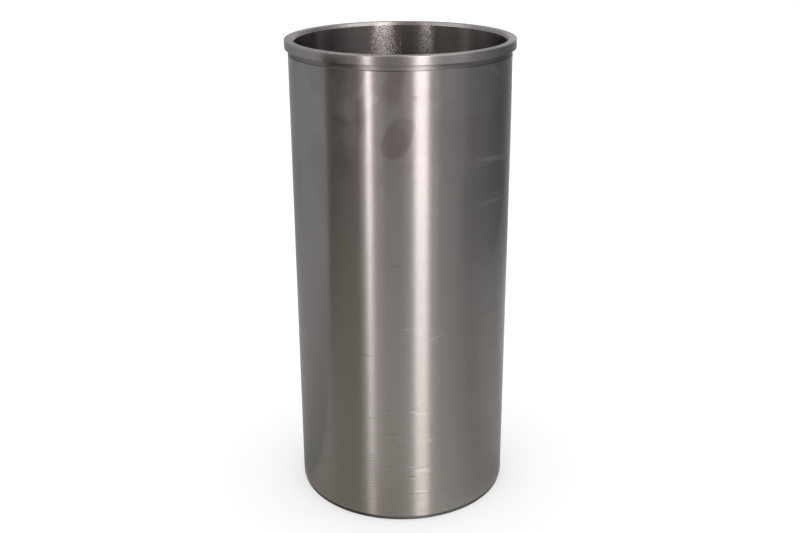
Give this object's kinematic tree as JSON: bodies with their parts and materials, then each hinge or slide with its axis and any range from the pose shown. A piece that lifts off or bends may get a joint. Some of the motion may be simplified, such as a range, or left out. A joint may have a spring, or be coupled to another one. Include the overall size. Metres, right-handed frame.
{
  "type": "cylinder liner",
  "caption": "Thin cylinder liner: a ground iron sleeve, open at both ends, with a narrow flange and relief groove at its top and a tapered lower end.",
  "frame": {"origin": "centre of the lower end, on the surface that the liner stands on", "axes": "+Z along the bore's axis, from the lower end towards the flange"},
  "size_m": [0.1074, 0.1074, 0.2268],
  "materials": {
    "machined_iron": "bare, turned and ground"
  },
  "bodies": {
    "root": {"cylinder_liner": "machined_iron"}
  },
  "joints": []
}
